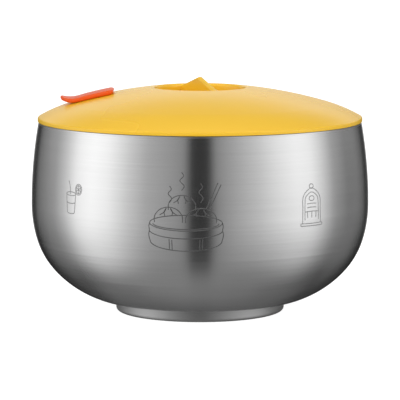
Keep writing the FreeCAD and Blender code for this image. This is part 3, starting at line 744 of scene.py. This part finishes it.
tab_places = [TAB_START + TAB_PITCH * k for k in range(TAB_SLICES)]
tab_places += eased(TAB_START + TAB_PITCH * TAB_SLICES, TAB_END - 0.01, 9)
tab = skinned(
    "release_tab_moulding",
    [tab_loop(place) for place in tab_places],
    CUP_SILICONE,
)
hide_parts("release_tab")
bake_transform(tab)


# ---------------------------------------------------------------------------------------------- etched drawings
shell_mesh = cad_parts["outer_shell"].data
SHELL_TREE = BVHTree.FromPolygons(
    [v.co for v in shell_mesh.vertices], [p.vertices for p in shell_mesh.polygons]
)
LINE_WIDTH = 0.34
LINE_RISE = 0.02
RAY_START = 1.5
STROKE_STEPS = 6
MANY_POINTS = 12


def on_shell(azimuth, height, across, up):
    """The point of the outer wall at a place in a drawing, and the wall's direction outwards there."""
    angle = math.radians(azimuth) + across * MM / BOWL_RADIUS
    outward = Vector((math.sin(angle), -math.cos(angle), 0.0))
    start = outward * BOWL_RADIUS * RAY_START + Vector((0.0, 0.0, (height + up) * MM))
    place, normal, _, _ = SHELL_TREE.ray_cast(start, -outward)
    return place, normal if normal.dot(outward) > 0 else -normal


def smooth_line(points):
    """A smooth open curve through the points of a stroke."""
    last = len(points) - 1
    line = []
    for i in range(last):
        a, b, c, d = (Vector(points[min(max(i + k, 0), last)]) for k in (-1, 0, 1, 2))
        for k in range(STROKE_STEPS):
            s = k / STROKE_STEPS
            square, cube = 2 * a - 5 * b + 4 * c - d, 3 * b - a - 3 * c + d
            line.append(0.5 * (2 * b + (c - a) * s + square * s**2 + cube * s**3))
    line.append(Vector(points[-1]))
    return line


def ellipse(x, y, half_width, half_height, first, last, count):
    """Points of an ellipse between two directions in degrees."""
    return [
        (x + half_width * math.cos(math.radians(a)), y + half_height * math.sin(math.radians(a)))
        for a in (first + (last - first) * k / count for k in range(count + 1))
    ]


def etch(name, azimuth, height, strokes, material=ETCHED_STEEL, stretch=1.0):
    """A drawing in thin raised lines on the wall. A stroke is a list of (across, up) points in millimetres,
    smoothed, or kept as it is if it has many."""
    vertices, faces = [], []
    for stroke in strokes:
        line = [Vector((x * stretch, y)) for x, y in stroke]
        if len(line) < MANY_POINTS:
            line = smooth_line(line)
        first = len(vertices)
        for i, point in enumerate(line):
            ahead = (line[min(i + 1, len(line) - 1)] - line[max(i - 1, 0)]).normalized()
            side = Vector((-ahead.y, ahead.x)) * LINE_WIDTH / 2
            for edge in (point + side, point - side):
                place, normal = on_shell(azimuth, height, edge.x, edge.y)
                vertices.append(place + normal * LINE_RISE * MM)
                vertices.append(place - normal * LINE_RISE * MM)
        for i in range(len(line) - 1):
            a, b = first + 4 * i, first + 4 * i + 4
            faces += [[a, a + 2, b + 2, b], [a + 2, a + 3, b + 3, b + 2]]
            faces += [[a + 3, a + 1, b + 1, b + 3], [a + 1, a, b, b + 1]]
        end = first + 4 * (len(line) - 1)
        faces += [[first, first + 1, first + 3, first + 2], [end, end + 2, end + 3, end + 1]]
    piece = make_piece(name, vertices, faces, material)
    piece.data.polygons.foreach_set("use_smooth", [False] * len(piece.data.polygons))
    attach(piece, "bowl")


def bun(x, y, width, height):
    """A steamed bun with a few pleats."""
    outline = [
        (x - width, y),
        (x - width * 0.97, y + height * 0.45),
        (x - width * 0.6, y + height * 0.85),
        (x, y + height),
        (x + width * 0.6, y + height * 0.85),
        (x + width * 0.97, y + height * 0.45),
        (x + width, y),
    ]
    top = y + height * 0.93
    pleats = [
        [
            (x + side * 0.15 * width, top),
            (x + side * 0.3 * width, top - 0.25 * height),
            (x + side * spread * width, top - drop * height),
        ]
        for side, spread, drop in ((-1, 0.62, 0.45), (-1, 0.25, 0.5), (1, 0.62, 0.45), (1, 0.25, 0.5))
    ]
    return [outline] + pleats


def wisp(x, y, height, lean):
    """A curl of steam."""
    return [
        (x, y),
        (x + lean, y + height * 0.25),
        (x - lean * 0.6, y + height * 0.55),
        (x + lean * 0.8, y + height * 0.8),
        (x, y + height),
    ]


steamer = [
    ellipse(0, -3.9, 13.4, 2.9, 0, 360, 56),
    ellipse(0, -4.1, 12.2, 2.1, 180, 360, 40),
    ellipse(0, -6.5, 13.6, 3.2, 184, 356, 40),
    ellipse(0, -10.6, 13.3, 3.7, 180, 360, 44),
    [(-13.4, -3.9), (-13.7, -5.2), (-13.5, -6.6), (-13.8, -8.4), (-13.3, -10.6)],
    [(13.4, -3.9), (13.7, -5.2), (13.5, -6.6), (13.8, -8.4), (13.3, -10.6)],
    [(-6.2, -9.8), (-6.15, -11.0), (-6.1, -13.6)],
    [(-5.2, -10.0), (-5.15, -11.2), (-5.1, -13.8)],
    [(6.2, -9.8), (6.15, -11.0), (6.1, -13.6)],
    [(5.2, -10.0), (5.15, -11.2), (5.1, -13.8)],
]
steamer += bun(-6.4, -3.7, 5.2, 5.6) + bun(5.6, -3.9, 5.6, 5.4) + bun(-1.4, 0.9, 5.0, 5.4)
steamer += [wisp(-6.0, 3.6, 6.0, 0.8), wisp(-1.6, 8.0, 6.6, 1.0), wisp(5.4, 3.6, 7.0, 0.9)]
steamer += [[(7.4, 1.2), (9.6, 6.0), (11.8, 10.8)], [(8.6, 0.9), (10.8, 5.6), (13.0, 10.2)]]
etch("drawing_steamer", -4.6, 46.0, steamer)

cup_and_slice = [
    [(-2.6, 1.6), (-2.3, -1.8), (-2.0, -5.2)],
    [(2.6, 1.6), (2.3, -1.8), (2.0, -5.2)],
    ellipse(0, 1.6, 2.6, 0.7, 0, 360, 28),
    ellipse(0, -5.2, 2.0, 0.6, 180, 360, 16),
    ellipse(0, -1.4, 2.35, 0.6, 180, 360, 16),
    [(-0.4, 1.4), (-0.7, 4.2), (-1.6, 6.4)],
    ellipse(4.0, 3.4, 1.7, 2.0, 0, 360, 28),
    ellipse(4.0, 3.4, 1.2, 1.5, 0, 360, 24),
    [(4.0, 1.9), (4.0, 4.9)],
    [(2.95, 2.7), (5.05, 4.1)],
    [(2.95, 4.1), (5.05, 2.7)],
]
etch("drawing_cup", -47.5, 48.8, cup_and_slice, FAINT_STEEL)

lantern = [
    [
        (-3.6, -6.6), (-3.5, -1.0), (-3.5, 2.2), (-2.6, 4.6), (0.0, 6.4),
        (2.6, 4.6), (3.5, 2.2), (3.5, -1.0), (3.6, -6.6),
    ],
    [(-2.7, -5.4), (-2.6, 1.8), (-1.9, 3.7), (0.0, 4.9), (1.9, 3.7), (2.6, 1.8), (2.7, -5.4)],
    [(-4.2, -6.6), (0.0, -6.7), (4.2, -6.6)],
    [(-4.2, -7.5), (0.0, -7.6), (4.2, -7.5)],
    [(-4.2, -7.5), (-4.25, -7.0), (-4.2, -6.6)],
    [(4.2, -7.5), (4.25, -7.0), (4.2, -6.6)],
    ellipse(0, 7.1, 0.8, 0.8, 0, 360, 20),
    ellipse(0, 2.6, 1.0, 0.9, 0, 360, 20),
    [(-1.8, 0.6), (0.0, 0.75), (1.8, 0.6)],
    [(-1.8, -0.8), (0.0, -0.65), (1.8, -0.8)],
    [(-1.7, -2.4), (-1.7, -3.4), (-1.6, -4.6)],
    [(0.0, -2.4), (0.0, -3.4), (0.0, -4.6)],
    [(1.7, -2.4), (1.7, -3.4), (1.6, -4.6)],
    [(-2.6, -2.3), (0.0, -2.2), (2.6, -2.3)],
]
etch("drawing_lantern", 39.4, 46.9, lantern, FAINT_STEEL, stretch=1.22)

bowl_and_spoon = [
    ellipse(0, 0.6, 4.4, 1.2, 0, 360, 32),
    [(-4.4, 0.6), (-3.9, -1.8), (-2.2, -3.6), (0.0, -4.1), (2.2, -3.6), (3.9, -1.8), (4.4, 0.6)],
    [(-1.6, -4.2), (0.0, -4.6), (1.6, -4.2)],
    [(0.8, 0.8), (2.6, 3.4), (4.2, 5.8)],
    ellipse(4.8, 6.7, 0.8, 1.2, 0, 360, 20),
    [(-1.8, 1.6), (-2.2, 2.6), (-1.4, 3.4), (-1.8, 4.4)],
]
etch("drawing_bowl", 88.0, 46.5, bowl_and_spoon)

sprig = [
    [(0.0, -6.0), (0.3, -2.0), (0.0, 2.0), (-0.2, 5.6)],
    [(0.2, -3.2), (1.6, -2.6), (3.2, -0.8), (1.8, -0.6), (0.2, -3.2)],
    [(0.2, -1.4), (-1.4, -1.0), (-3.0, 0.8), (-1.6, 1.0), (0.2, -1.4)],
    [(0.1, 0.8), (1.5, 1.4), (2.8, 3.2), (1.4, 3.2), (0.1, 0.8)],
    [(0.0, 2.4), (-1.2, 2.8), (-2.4, 4.6), (-1.0, 4.6), (0.0, 2.4)],
]
etch("drawing_sprig", 180.0, 47.0, sprig)
